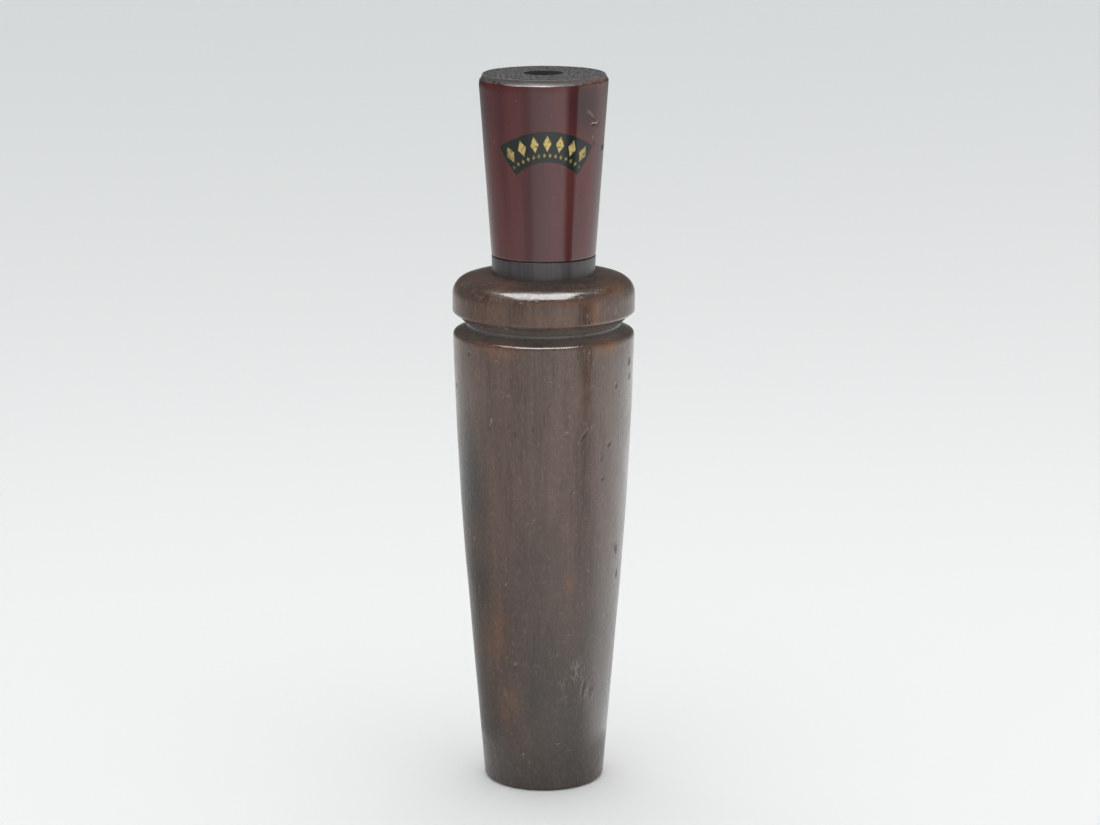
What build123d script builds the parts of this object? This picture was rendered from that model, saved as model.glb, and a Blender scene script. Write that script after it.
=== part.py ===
"""A turned wooden duck call: a tapered barrel, and a push-in stopper that carries the sounding works.

Millimetres, +Z up along the call's axis. The origin is the middle of the mouthpiece end, which the call
stands on. The exhaust end is at the top. -Y is the front: the label's side, and the side that the reed
faces. Every solid goes to parts/NODE.step.
"""

import os
from math import radians, tan

from build123d import *

# ---- Barrel, outside ----
BARREL_LENGTH = 105.3  # mouthpiece end to the top of the crown, round the socket
MOUTH_END_R = 12.16
LIP_ROUND = 0.9  # rounding of the edge that the call stands on
KNEE_R = 15.5  # radius where the straight taper turns into the long swell
KNEE_Z = 41.0
SHOULDER_R = 18.17
SHOULDER_DROP = 11.95  # shoulder below the lanyard groove, from the barrel's top
SHOULDER_ROUND = 0.9
GROOVE_R = 14.8  # floor of the V-shaped lanyard groove
GROOVE_DROP = 10.45
GROOVE_ROUND = 0.5
BEAD_R = 18.25  # the call's widest radius
BEAD_EDGE_DROP = 7.75  # lower corner of the bead
BEAD_EDGE_ROUND = 0.6
BEAD_SIDE_DROP = 4.2  # top of the bead's upright side
BEAD_ROUND = 3.4
BEAD_SWEEP = 73.6  # degrees turned by the bead's rounding before it meets the crown

# ---- Stopper, outside ----
NECK_SHOWING = 3.75  # tenon left in sight between the barrel and the cone
CONE_LENGTH = 36.0
CONE_FOOT_R = 10.42
RIM_R = 12.84  # top of the cone, below the bevel
BEVEL_IN = 0.68
BEVEL_DOWN = 1.25
SEAM_DEPTH = 0.4  # scored line between the cone and the tenon
SEAM_HEIGHT = 0.3
TENON_R = 10.4  # at the seam
TENON_TAPER = 0.018  # radius lost for each millimetre down the tenon
TENON_LENGTH = 25.0
TENON_CHAMFER = 0.5

# ---- Bores ----
FIT_GAP = 0.05  # radial clearance of the tenon in the socket
SOCKET_RUNOUT = 1.0  # socket left open past the tenon's end
CHAMBER_R = 9.525  # a 3/4 inch drill
THROAT_HEIGHT = 9.0  # cone between the chamber and the mouth bore
MOUTH_BORE_R = 6.35  # a 1/2 inch drill
MOUTH_BORE_LENGTH = 12.0
MOUTH_BREAK = 0.8  # broken edges of the bores, where they come out
EXHAUST_BREAK = 0.2
EXHAUST_R = 3.97  # a 5/16 inch drill
WORKS_BORE_R = 6.35  # the works are pressed into this bore from the tenon's end
WORKS_BORE_DEPTH = 24.0

# ---- Sounding works ----
PRESS_GAP = 0.02  # keeps pressed faces just apart
FACE_Y = -1.0  # plane of the tone board's flat face
BOARD_REACH = 40.0  # length of tone board below the tenon
BOARD_BACK_FLAT = 6.0  # full-thickness stretch below the tenon, before the back tapers
BOARD_TIP_THICK = 2.8
BOARD_TIP_ROUND = 3.0
RAMP_DEGREES = 1.2  # the board's face falls away from the resting reed at this angle
TROUGH_WIDTH = 6.0
TROUGH_DEPTH = 3.4
TROUGH_TIP_DEPTH = 1.2
TROUGH_TIP_MARGIN = 5.0  # solid tip left below the trough, where the reed closes
REED_WIDTH = 10.0
REED_THICK = 0.3
REED_SHORT = 1.0  # the reed stops this far short of the board's tip
REED_TIP_ROUND = 2.4
REED_HEEL = 17.0  # length of reed held by the wedge block
REED_SPLIT = 0.06  # gap at the bending line, where the heel ends and the tongue starts
WEDGE_LENGTH = 20.0
WEDGE_PROUD = 1.5  # block left standing out of the tenon, to pull it by
WEDGE_CHAMFER = 0.5

# ---- Label ----
LABEL_THICK = 0.08
LABEL_OUTER_R = 13.7  # radii of the arch, seen from the front
LABEL_INNER_R = 7.7
LABEL_OUTER_HALF = 41.0  # degrees from the middle to the end, along each arc
LABEL_INNER_HALF = 50.0
LABEL_DROP = 10.05  # top of the arch, from the stopper's top

# ---- Heights worked out from the above ----
CONE_FOOT_Z = BARREL_LENGTH + NECK_SHOWING
TOP_Z = CONE_FOOT_Z + CONE_LENGTH
TENON_END_Z = CONE_FOOT_Z - TENON_LENGTH
WORKS_BORE_TOP_Z = TENON_END_Z + WORKS_BORE_DEPTH
BEND_Z = TENON_END_Z - WEDGE_PROUD  # the reed bends where the wedge block lets it go
BOARD_TIP_Z = TENON_END_Z - BOARD_REACH
CHAMBER_FLOOR_Z = MOUTH_BORE_LENGTH + THROAT_HEIGHT

WORKS_R = WORKS_BORE_R - PRESS_GAP
REED_BACK_Y = FACE_Y - PRESS_GAP  # the side that closes on the board
REED_FRONT_Y = REED_BACK_Y - REED_THICK
WEDGE_FACE_Y = REED_FRONT_Y - PRESS_GAP
OVER = 1.0  # how far cutters run past the faces they open


def tenon_radius(z):
    """Radius of the tapered tenon at height z."""
    return TENON_R - TENON_TAPER * (CONE_FOOT_Z - z)


def cone_radius(z):
    """Radius of the stopper's cone at height z."""
    rise = (z - CONE_FOOT_Z) / (CONE_LENGTH - BEVEL_DOWN)
    return CONE_FOOT_R + (RIM_R - CONE_FOOT_R) * rise


def board_face(z):
    """Y of the board's face at height z: flat under the heel, then a ramp."""
    return FACE_Y + tan(radians(RAMP_DEGREES)) * max(BEND_Z - z, 0.0)


def corner(section, radius, z):
    """The corner of a section nearest a radius and a height."""
    return section.vertices().sort_by_distance((radius, z))[0]


def turned(*points):
    """A solid turned on the Z axis from straight lines between (radius, z) points."""
    return revolve(Plane.XZ * make_face(Polyline(*points, close=True)), Axis.Z)


def plug(low_r, high_r, low_z, high_z):
    """A round or conical plug on the Z axis."""
    return turned((0, low_z), (low_r, low_z), (high_r, high_z), (0, high_z))


def side_plate(width, *points):
    """A plate centred on X whose side view is the polygon of (y, z) points."""
    return extrude(Plane.YZ * make_face(Polyline(*points, close=True)), width / 2, both=True)


def front_plate(width, low_z, high_z, rounding):
    """A thick plate with its two lower corners rounded, seen from the front."""
    blank = Pos(0, (low_z + high_z) / 2) * Rectangle(width, high_z - low_z)
    blank = fillet(blank.vertices().sort_by(Axis.Y)[:2], rounding)
    return extrude(Plane.XZ * blank, 2 * WORKS_BORE_R, both=True)


def barrel_blank():
    """The barrel's outside, left solid: lip, taper, swell, V groove, bead and crown."""
    shoulder = (SHOULDER_R, BARREL_LENGTH - SHOULDER_DROP)
    floor = (GROOVE_R, BARREL_LENGTH - GROOVE_DROP)
    bead_edge = (BEAD_R, BARREL_LENGTH - BEAD_EDGE_DROP)
    bead_side = (BEAD_R, BARREL_LENGTH - BEAD_SIDE_DROP)
    bead_centre = (BEAD_R - BEAD_ROUND, BARREL_LENGTH - BEAD_SIDE_DROP)
    mouth = (tenon_radius(BARREL_LENGTH) + FIT_GAP, BARREL_LENGTH)
    with BuildSketch(Plane.XZ) as section:
        with BuildLine():
            taper = Line((MOUTH_END_R, 0), (KNEE_R, KNEE_Z))
            TangentArc(taper @ 1, shoulder, tangent=taper % 1)
            Polyline(shoulder, floor, bead_edge, bead_side)
            rounding = CenterArc(bead_centre, BEAD_ROUND, 0, BEAD_SWEEP)
            TangentArc(rounding @ 1, mouth, tangent=rounding % 1)
            Polyline(mouth, (0, BARREL_LENGTH), (0, 0), (MOUTH_END_R, 0))
        make_face()
        fillet(corner(section, MOUTH_END_R, 0), LIP_ROUND)
        fillet(corner(section, *shoulder), SHOULDER_ROUND)
        fillet(corner(section, *floor), GROOVE_ROUND)
        fillet(corner(section, *bead_edge), BEAD_EDGE_ROUND)
    return revolve(section.sketch, Axis.Z)


def barrel():
    """The barrel: mouth bore, throat, sound chamber, and the tapered socket for the tenon."""
    socket_z = TENON_END_Z - SOCKET_RUNOUT
    mouth_r = MOUTH_BORE_R + MOUTH_BREAK
    socket_low_r = tenon_radius(socket_z) + FIT_GAP
    socket_high_r = tenon_radius(BARREL_LENGTH + OVER) + FIT_GAP
    bores = plug(MOUTH_BORE_R, MOUTH_BORE_R, -OVER, MOUTH_BORE_LENGTH)
    bores += plug(mouth_r, MOUTH_BORE_R, 0, MOUTH_BREAK)
    bores += plug(MOUTH_BORE_R, CHAMBER_R, MOUTH_BORE_LENGTH, CHAMBER_FLOOR_Z)
    bores += plug(CHAMBER_R, CHAMBER_R, CHAMBER_FLOOR_Z, socket_z)
    bores += plug(socket_low_r, socket_high_r, socket_z, BARREL_LENGTH + OVER)
    return barrel_blank() - bores


def stopper():
    """The stopper: cone and tenon turned in one, with the exhaust bore and the bore for the works."""
    seam_z = CONE_FOOT_Z - SEAM_HEIGHT
    body = turned(
        (0, TENON_END_Z),
        (tenon_radius(TENON_END_Z) - TENON_CHAMFER, TENON_END_Z),
        (tenon_radius(TENON_END_Z + TENON_CHAMFER), TENON_END_Z + TENON_CHAMFER),
        (tenon_radius(seam_z), seam_z),
        (tenon_radius(seam_z) - SEAM_DEPTH, CONE_FOOT_Z - SEAM_HEIGHT / 2),
        (CONE_FOOT_R, CONE_FOOT_Z),
        (RIM_R, TOP_Z - BEVEL_DOWN),
        (RIM_R - BEVEL_IN, TOP_Z),
        (0, TOP_Z),
    )
    body -= plug(EXHAUST_R, EXHAUST_R, WORKS_BORE_TOP_Z, TOP_Z + OVER)
    body -= plug(EXHAUST_R, EXHAUST_R + EXHAUST_BREAK, TOP_Z - EXHAUST_BREAK, TOP_Z)
    return body - plug(WORKS_BORE_R, WORKS_BORE_R, TENON_END_Z - OVER, WORKS_BORE_TOP_Z)


def trough():
    """The cutter for the air trough, which opens into the exhaust bore and stops short of the tip."""
    end_z = BOARD_TIP_Z + TROUGH_TIP_MARGIN
    open_z = WORKS_BORE_TOP_Z + OVER
    return side_plate(
        TROUGH_WIDTH,
        (FACE_Y - OVER, open_z),
        (FACE_Y - OVER, end_z),
        (board_face(end_z) + TROUGH_TIP_DEPTH, end_z),
        (FACE_Y + TROUGH_DEPTH, TENON_END_Z),
        (FACE_Y + TROUGH_DEPTH, open_z),
    )


def tone_board():
    """The tone board: a half-round rod with a flat face, a ramp for the reed, and a trough."""
    root_z = WORKS_BORE_TOP_Z - PRESS_GAP
    tip_y = board_face(BOARD_TIP_Z)
    board = side_plate(
        2 * WORKS_R,
        (FACE_Y, root_z),
        (FACE_Y, BEND_Z),
        (tip_y, BOARD_TIP_Z),
        (tip_y + BOARD_TIP_THICK, BOARD_TIP_Z),
        (WORKS_R, TENON_END_Z - BOARD_BACK_FLAT),
        (WORKS_R, root_z),
    )
    board &= plug(WORKS_R, WORKS_R, BOARD_TIP_Z, root_z)
    board &= front_plate(2 * WORKS_R, BOARD_TIP_Z, root_z + OVER, BOARD_TIP_ROUND)
    return board - trough()


def reed(low_z, high_z, rounding):
    """A length of reed strip with its lower corners rounded."""
    strip = side_plate(
        REED_WIDTH,
        (REED_FRONT_Y, low_z),
        (REED_BACK_Y, low_z),
        (REED_BACK_Y, high_z),
        (REED_FRONT_Y, high_z),
    )
    return strip & front_plate(REED_WIDTH, low_z, high_z + OVER, rounding) if rounding else strip


def wedge():
    """The wedge block: fills the front of the bore and clamps the reed's heel on the board."""
    top_z = BEND_Z + WEDGE_LENGTH
    block = turned(
        (0, BEND_Z),
        (WORKS_R - WEDGE_CHAMFER, BEND_Z),
        (WORKS_R, BEND_Z + WEDGE_CHAMFER),
        (WORKS_R, top_z),
        (0, top_z),
    )
    return block & side_plate(
        2 * WORKS_R,
        (WEDGE_FACE_Y, BEND_Z - OVER),
        (WEDGE_FACE_Y, top_z + OVER),
        (-WORKS_R - OVER, top_z + OVER),
        (-WORKS_R - OVER, BEND_Z - OVER),
    )


def label():
    """The label: a thin arched band that follows the front of the cone."""
    arch_z = TOP_Z - LABEL_DROP - LABEL_OUTER_R
    low_z = arch_z
    high_z = arch_z + LABEL_OUTER_R + OVER
    skin = plug(cone_radius(low_z) + LABEL_THICK, cone_radius(high_z) + LABEL_THICK, low_z, high_z)
    skin -= plug(cone_radius(low_z), cone_radius(high_z), low_z, high_z)
    with BuildSketch() as arch:
        with BuildLine():
            outer = CenterArc((0, arch_z), LABEL_OUTER_R, 90 - LABEL_OUTER_HALF, 2 * LABEL_OUTER_HALF)
            inner = CenterArc((0, arch_z), LABEL_INNER_R, 90 - LABEL_INNER_HALF, 2 * LABEL_INNER_HALF)
            Line(outer @ 0, inner @ 0)
            Line(outer @ 1, inner @ 1)
        make_face()
    return skin & extrude(Plane.XZ * arch.sketch, 2 * RIM_R)


def main():
    """Model every piece and write it to its own file."""
    split_z = BEND_Z - REED_SPLIT
    pieces = {
        "barrel": barrel(),
        "stopper": stopper(),
        "tone_board": tone_board(),
        "reed_heel": reed(BEND_Z, BEND_Z + REED_HEEL, 0),
        "reed_tongue": reed(BOARD_TIP_Z + REED_SHORT, split_z, REED_TIP_ROUND),
        "wedge": wedge(),
        "label": label(),
    }
    os.makedirs("parts", exist_ok=True)
    for name, shape in pieces.items():
        export_step(shape, f"parts/{name}.step")


if __name__ == "__main__":
    main()
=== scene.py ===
"""The looks of a turned wooden duck call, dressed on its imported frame.

The barrel, the stopper, the label and the reed are new surfaces that stand for their CAD nodes. The tone
board and the wedge block keep their CAD shapes and get their own finishes. Sizes are in millimetres until
a mesh is made, and in metres from then on. Azimuth is in degrees, 0 at the front (-Y), growing towards +X.
"""

import logging
from dataclasses import astuple, dataclass
from enum import Enum
from math import atan2, cos, hypot, pi, radians, sin

import bpy
import numpy as np
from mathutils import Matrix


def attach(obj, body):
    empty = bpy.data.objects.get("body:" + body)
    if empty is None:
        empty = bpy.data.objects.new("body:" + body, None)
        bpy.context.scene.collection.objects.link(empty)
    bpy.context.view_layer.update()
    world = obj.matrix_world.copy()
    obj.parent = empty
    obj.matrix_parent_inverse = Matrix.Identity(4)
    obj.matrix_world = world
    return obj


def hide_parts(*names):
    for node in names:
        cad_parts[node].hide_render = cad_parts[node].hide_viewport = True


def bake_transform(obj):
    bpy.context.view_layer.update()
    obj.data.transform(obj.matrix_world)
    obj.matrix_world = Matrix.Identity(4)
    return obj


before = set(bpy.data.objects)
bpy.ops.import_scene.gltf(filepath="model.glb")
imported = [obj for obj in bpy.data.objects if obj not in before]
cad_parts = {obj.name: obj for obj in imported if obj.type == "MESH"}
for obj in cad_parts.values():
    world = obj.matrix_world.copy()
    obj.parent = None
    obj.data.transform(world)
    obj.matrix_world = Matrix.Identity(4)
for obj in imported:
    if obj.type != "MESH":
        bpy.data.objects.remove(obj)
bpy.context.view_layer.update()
MM = 0.001
Colour = tuple[float, float, float]
Socket = bpy.types.NodeSocket
log = logging.getLogger("duck_call")


class Body(Enum):
    """The moving bodies of the frame."""

    BARREL = "barrel"
    STOPPER = "stopper"
    REED = "reed"


class Slot(Enum):
    """The record's material slots."""

    BARREL = "barrel_wood"
    STOPPER = "stopper_wood"
    BOARD = "board_wood"
    REED = "reed"
    CORK = "cork"
    LABEL = "label_transfer"


# ---- Shapes: turned outlines and grids ----


def rounded(corners: list[tuple[float, float, float]], steps: int = 7) -> np.ndarray:
    """Rounds the corners of a turned outline.

    Each corner is replaced by an arc tangent to both runs: its ends lie on the runs at
    radius / tan(half the corner's angle) from the corner, and its points turn evenly about its centre.

    Args:
        corners: (radius, height, rounding) of each corner. The first and last stay as they are.
        steps: Points on each arc.

    Returns:
        The outline's points, one (radius, height) row each.
    """
    runs = []
    for before, here, after in zip(corners[:-2], corners[1:-1], corners[2:]):
        point = np.array(here[:2])
        back = np.array(before[:2]) - point
        ahead = np.array(after[:2]) - point
        back /= np.linalg.norm(back)
        ahead /= np.linalg.norm(ahead)
        half = np.arccos(np.clip(back @ ahead, -1, 1)) / 2
        if here[2] <= 0 or half > radians(89.5):
            runs.append(point[None])
            continue
        middle = back + ahead
        centre = point + middle / np.linalg.norm(middle) * here[2] / sin(half)
        spoke = point + back * here[2] / np.tan(half) - centre
        turn = (pi - 2 * half) * np.sign(back[0] * ahead[1] - back[1] * ahead[0])
        angles = np.linspace(0, -turn, steps)[:, None]
        runs.append(centre + np.cos(angles) * spoke + np.sin(angles) * np.array([-spoke[1], spoke[0]]))
    return np.vstack([np.array(corners[0][:2])[None], *runs, np.array(corners[-1][:2])[None]])


def tangent_arc(start: np.ndarray, heading: np.ndarray, end: np.ndarray, count: int) -> np.ndarray:
    """Points of the arc that leaves start along heading and passes through end.

    The chord makes an angle with the heading. The arc turns through twice that angle, and each point's
    chord from the start has the length of a chord of that circle.

    Args:
        start: (radius, height) of the arc's start.
        heading: Direction of travel at the start.
        end: (radius, height) of the arc's end.
        count: Number of points, both ends included.

    Returns:
        The points, one row each.
    """
    chord = end - start
    length = np.linalg.norm(chord)
    lean = atan2(heading[0] * chord[1] - heading[1] * chord[0], float(heading @ chord))
    share = np.linspace(0, 1, count)
    reach = length * np.sin(lean * share) / np.sin(lean)
    angle = atan2(heading[1], heading[0]) + lean * share
    return start + reach[:, None] * np.column_stack([np.cos(angle), np.sin(angle)])


def refine(path: np.ndarray, step: float | np.ndarray) -> np.ndarray:
    """Divides the runs of an outline so that none is longer than a step, and keeps its own points.

    Args:
        path: (radius, height) points.
        step: Longest run wanted, everywhere or for each run.

    Returns:
        The divided outline.
    """
    lengths = np.hypot(*np.diff(path, axis=0).T)
    counts = np.maximum(np.ceil(lengths / step).astype(int), 1)
    places = np.repeat(np.arange(len(counts)), counts)
    shares = (np.arange(counts.sum()) - np.repeat(np.cumsum(counts) - counts, counts)) / counts[places]
    points = path[places] + shares[:, None] * (path[places + 1] - path[places])
    return np.vstack([points, path[-1:]])


def outline_normals(path: np.ndarray) -> np.ndarray:
    """Outward normals of a closed outline that runs anticlockwise: each is the local heading turned right.

    Args:
        path: (radius, height) points, the last not repeating the first.

    Returns:
        Unit normals, one row each.
    """
    heading = np.roll(path, -1, axis=0) - np.roll(path, 1, axis=0)
    heading /= np.linalg.norm(heading, axis=1)[:, None]
    return np.column_stack([heading[:, 1], -heading[:, 0]])


def grid_mesh(name: str, points: np.ndarray, closed: bool, sharp: float = 40.0) -> bpy.types.Object:
    """Makes a mesh object from a grid of points.

    Args:
        name: Name of the piece.
        points: Rows by columns by xyz, in millimetres. Columns always join up round the grid.
        closed: True if the last row joins the first, so that the surface is a ring.
        sharp: Edges that turn more than this many degrees stay crisp.

    Returns:
        The object, linked into the scene.
    """
    rows, columns = points.shape[:2]
    row = np.arange(rows if closed else rows - 1)[:, None]
    column = np.arange(columns)[None]
    above = (row + 1) % rows
    beside = (column + 1) % columns
    faces = np.stack(
        [row * columns + column, row * columns + beside, above * columns + beside, above * columns + column],
        axis=-1,
    ).reshape(-1, 4)
    mesh = bpy.data.meshes.new(name)
    mesh.from_pydata((points.reshape(-1, 3) * MM).tolist(), [], faces.tolist())
    mesh.polygons.foreach_set("use_smooth", np.ones(len(faces), dtype=bool))
    mesh.set_sharp_from_angle(angle=radians(sharp))
    mesh.update()
    piece = bpy.data.objects.new(name, mesh)
    bpy.context.scene.collection.objects.link(piece)
    return piece


def front_heavy(columns: int) -> np.ndarray:
    """Radians of each column, t - 0.45 sin t for evenly spaced t, so that they crowd towards the front."""
    even = np.linspace(0, 2 * pi, columns, endpoint=False)
    return even - 0.45 * np.sin(even)


def keep(piece: bpy.types.Object, name: str, values: np.ndarray) -> None:
    """Keeps one number for each point of a piece's mesh in an attribute that a finish can read."""
    piece.data.attributes.new(name, "FLOAT", "POINT").data.foreach_set("value", values.ravel())


def revolve(path: np.ndarray, relief: np.ndarray, azimuths: np.ndarray) -> np.ndarray:
    """Turns a closed outline about the axis, and moves each point along its normal by the relief.

    Args:
        path: (radius, height) points.
        relief: Rows by columns of outward moves, in millimetres.
        azimuths: Radians of each column.

    Returns:
        Rows by columns by xyz.
    """
    normals = outline_normals(path)
    radius = path[:, :1] + normals[:, :1] * relief
    height = path[:, 1:] + normals[:, 1:] * relief
    return np.stack([radius * np.sin(azimuths), -radius * np.cos(azimuths), height], axis=-1)


def on_surface(radius: float, azimuth: float, height: float) -> tuple[float, float, float]:
    """Metres of the point at a radius and height in millimetres and an azimuth in degrees."""
    turn = radians(azimuth)
    return (radius * sin(turn) * MM, -radius * cos(turn) * MM, height * MM)


@dataclass(frozen=True)
class Nick:
    """A dent, gouge or chip pressed into a turned surface.

    With s = a^2 + b^2, where a and b are the distances along and across it as shares of its half length
    and half width, its depth is exp(-s^2) less a raised lip of 0.3 exp(-3 (s - 1.7)^2).
    """

    azimuth: float
    height: float
    length: float
    width: float
    lean: float = 0.0  # degrees from upright, clockwise
    depth: float = 0.15

    def press(self, azimuths: np.ndarray, path: np.ndarray) -> np.ndarray:
        """The nick's depth over the whole grid.

        Args:
            azimuths: Radians of each column.
            path: (radius, height) of each row.

        Returns:
            Rows by columns of depth, in millimetres.
        """
        turn = (azimuths[None] - radians(self.azimuth) + pi) % (2 * pi) - pi
        across = turn * path[:, :1]
        up = path[:, 1:] - self.height
        lean = radians(self.lean)
        along = across * sin(lean) + up * cos(lean)
        beside = across * cos(lean) - up * sin(lean)
        spread = (2 * along / self.length) ** 2 + (2 * beside / self.width) ** 2
        return self.depth * (np.exp(-(spread**2)) - 0.3 * np.exp(-3 * (spread - 1.7) ** 2))


def waves(azimuths: np.ndarray, heights: np.ndarray, seed: int, size: float) -> np.ndarray:
    """Slow unevenness: a sum of eight sine waves round and along the piece, with random phases.

    Args:
        azimuths: Radians of each column.
        heights: Millimetres of each row.
        seed: Seed of the waves.
        size: Rough height of the unevenness.

    Returns:
        Rows by columns of the waves' sum.
    """
    rng = np.random.default_rng(seed)
    total = np.zeros((len(heights), len(azimuths)))
    for _ in range(8):
        lobes = rng.integers(1, 9)
        pitch = rng.uniform(9, 50)
        phase, slide = rng.uniform(0, 2 * pi, 2)
        total += np.sin(lobes * azimuths[None] + phase + heights[:, None] * 2 * pi / pitch + slide)
    return total * size / 4


# ---- Finishes: node recipes ----


class Recipe:
    """Builds one material's nodes. Each method that makes a node returns its output socket."""

    def __init__(self, name: str) -> None:
        """Starts an empty material that reads object coordinates.

        Args:
            name: Its name.
        """
        self.material = bpy.data.materials.new(name)
        self.material.use_nodes = True
        self.tree = self.material.node_tree
        self.tree.nodes.clear()
        self.place = self.node("ShaderNodeTexCoord", {}).outputs["Object"]

    def node(self, kind: str, inputs: dict, **settings: object) -> bpy.types.Node:
        """Adds a node.

        Args:
            kind: Blender's name for the node type.
            inputs: Value or socket for each named or numbered input.
            **settings: Properties of the node.

        Returns:
            The node.
        """
        node = self.tree.nodes.new(kind)
        for key, value in settings.items():
            setattr(node, key, value)
        for key, value in inputs.items():
            if isinstance(value, bpy.types.NodeSocket):
                self.tree.links.new(value, node.inputs[key])
            else:
                node.inputs[key].default_value = value
        return node

    def math(self, how: str, first: Socket | float, second: Socket | float = 0.0) -> Socket:
        """One sum on two values."""
        return self.node("ShaderNodeMath", {0: first, 1: second}, operation=how).outputs[0]

    def vector(self, how: str, first: Socket, second: Socket | Colour = (0, 0, 0)) -> bpy.types.Node:
        """One sum on two vectors."""
        return self.node("ShaderNodeVectorMath", {0: first, 1: second}, operation=how)

    def stretched(self, scale: Colour, shift: Colour = (0, 0, 0)) -> Socket:
        """Object coordinates, moved and then scaled along each axis."""
        moved = self.vector("SUBTRACT", self.place, shift).outputs[0]
        return self.vector("MULTIPLY", moved, scale).outputs[0]

    def noise(self, scale: Colour, detail: float = 3.0, rough: float = 0.5, bend: float = 0.0,
              shift: Colour = (0, 0, 0)) -> Socket:
        """Noise with its own number of features per metre along each axis.

        Args:
            scale: Features per metre along X, Y and Z.
            detail: Octaves.
            rough: Share of the finer octaves.
            bend: Distortion.
            shift: Offset in metres, so that two noises of one scale differ.

        Returns:
            The noise's value, 0 to 1 about 0.5.
        """
        inputs = {"Vector": self.stretched(scale, shift), "Scale": 1.0, "Detail": detail, "Roughness": rough,
                  "Distortion": bend}
        return self.node("ShaderNodeTexNoise", inputs).outputs["Fac"]

    def fit(self, value: Socket, low: float, high: float, to_low: float = 0.0, to_high: float = 1.0) -> Socket:
        """Maps low..high smoothly onto to_low..to_high, and holds it there outside."""
        inputs = {"Value": value, "From Min": low, "From Max": high, "To Min": to_low, "To Max": to_high}
        return self.node("ShaderNodeMapRange", inputs, interpolation_type="SMOOTHSTEP").outputs[0]

    def mix(self, share: Socket | float, first: Socket | Colour, second: Socket | Colour,
            how: str = "MIX") -> Socket:
        """Mixes two colours.

        Args:
            share: 0 for the first colour, 1 for the second.
            first: First colour.
            second: Second colour.
            how: Blender's blend type.

        Returns:
            The mixed colour.
        """
        values = [c if isinstance(c, bpy.types.NodeSocket) else (*c, 1.0) for c in (first, second)]
        node = self.node("ShaderNodeMix", {0: share, 6: values[0], 7: values[1]}, data_type="RGBA",
                         blend_type=how, clamp_factor=True)
        return node.outputs[2]

    def height(self) -> Socket:
        """Height above the base, in metres."""
        return self.node("ShaderNodeSeparateXYZ", {0: self.place}).outputs[2]

    def bump(self, height: Socket, depth: float, after: Socket | None = None) -> Socket:
        """A bump, added to an earlier one if there is one.

        Args:
            height: 0 to 1 over the surface.
            depth: Metres that a height of 1 stands for.
            after: The earlier bump's normal.

        Returns:
            The normal.
        """
        inputs = {"Height": height, "Distance": depth, "Strength": 1.0}
        if after is not None:
            inputs["Normal"] = after
        return self.node("ShaderNodeBump", inputs).outputs[0]

    def finish(self, **inputs: object) -> bpy.types.Material:
        """Adds the surface shader and the output, with inputs named as on the shader but with underscores."""
        named = {key.replace("_", " "): value for key, value in inputs.items()}
        shader = self.node("ShaderNodeBsdfPrincipled", named)
        self.node("ShaderNodeOutputMaterial", {"Surface": shader.outputs[0]})
        return self.material


@dataclass(frozen=True)
class Patch:
    """A soft-edged stain on a turned surface, an ellipsoid about a point of it."""

    radius: float
    azimuth: float
    height: float
    across: float
    along: float
    strength: float = 1.0

    def mask(self, recipe: Recipe) -> Socket:
        """Shades the stain off from its middle.

        Args:
            recipe: The material's recipe.

        Returns:
            Its strength at the middle, falling evenly to nothing at its edge.
        """
        scale = (1 / (self.across * MM), 1 / (self.across * MM), 1 / (self.along * MM))
        near = recipe.stretched(scale, on_surface(self.radius, self.azimuth, self.height))
        length = recipe.vector("LENGTH", near).outputs["Value"]
        return recipe.fit(length, 0.15, 1.0, self.strength, 0.0)


def stains(recipe: Recipe, patches: tuple[Patch, ...], ragged: Socket) -> Socket:
    """The strongest of several stains at each point, roughened by a noise.

    Args:
        recipe: The material's recipe.
        patches: The stains.
        ragged: Noise that breaks up their edges.

    Returns:
        The share of stain, 0 to 1.
    """
    total = patches[0].mask(recipe)
    for patch in patches[1:]:
        total = recipe.math("MAXIMUM", total, patch.mask(recipe))
    return recipe.math("MULTIPLY", total, recipe.fit(ragged, 0.3, 0.62, 0.25, 1.0))


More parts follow.
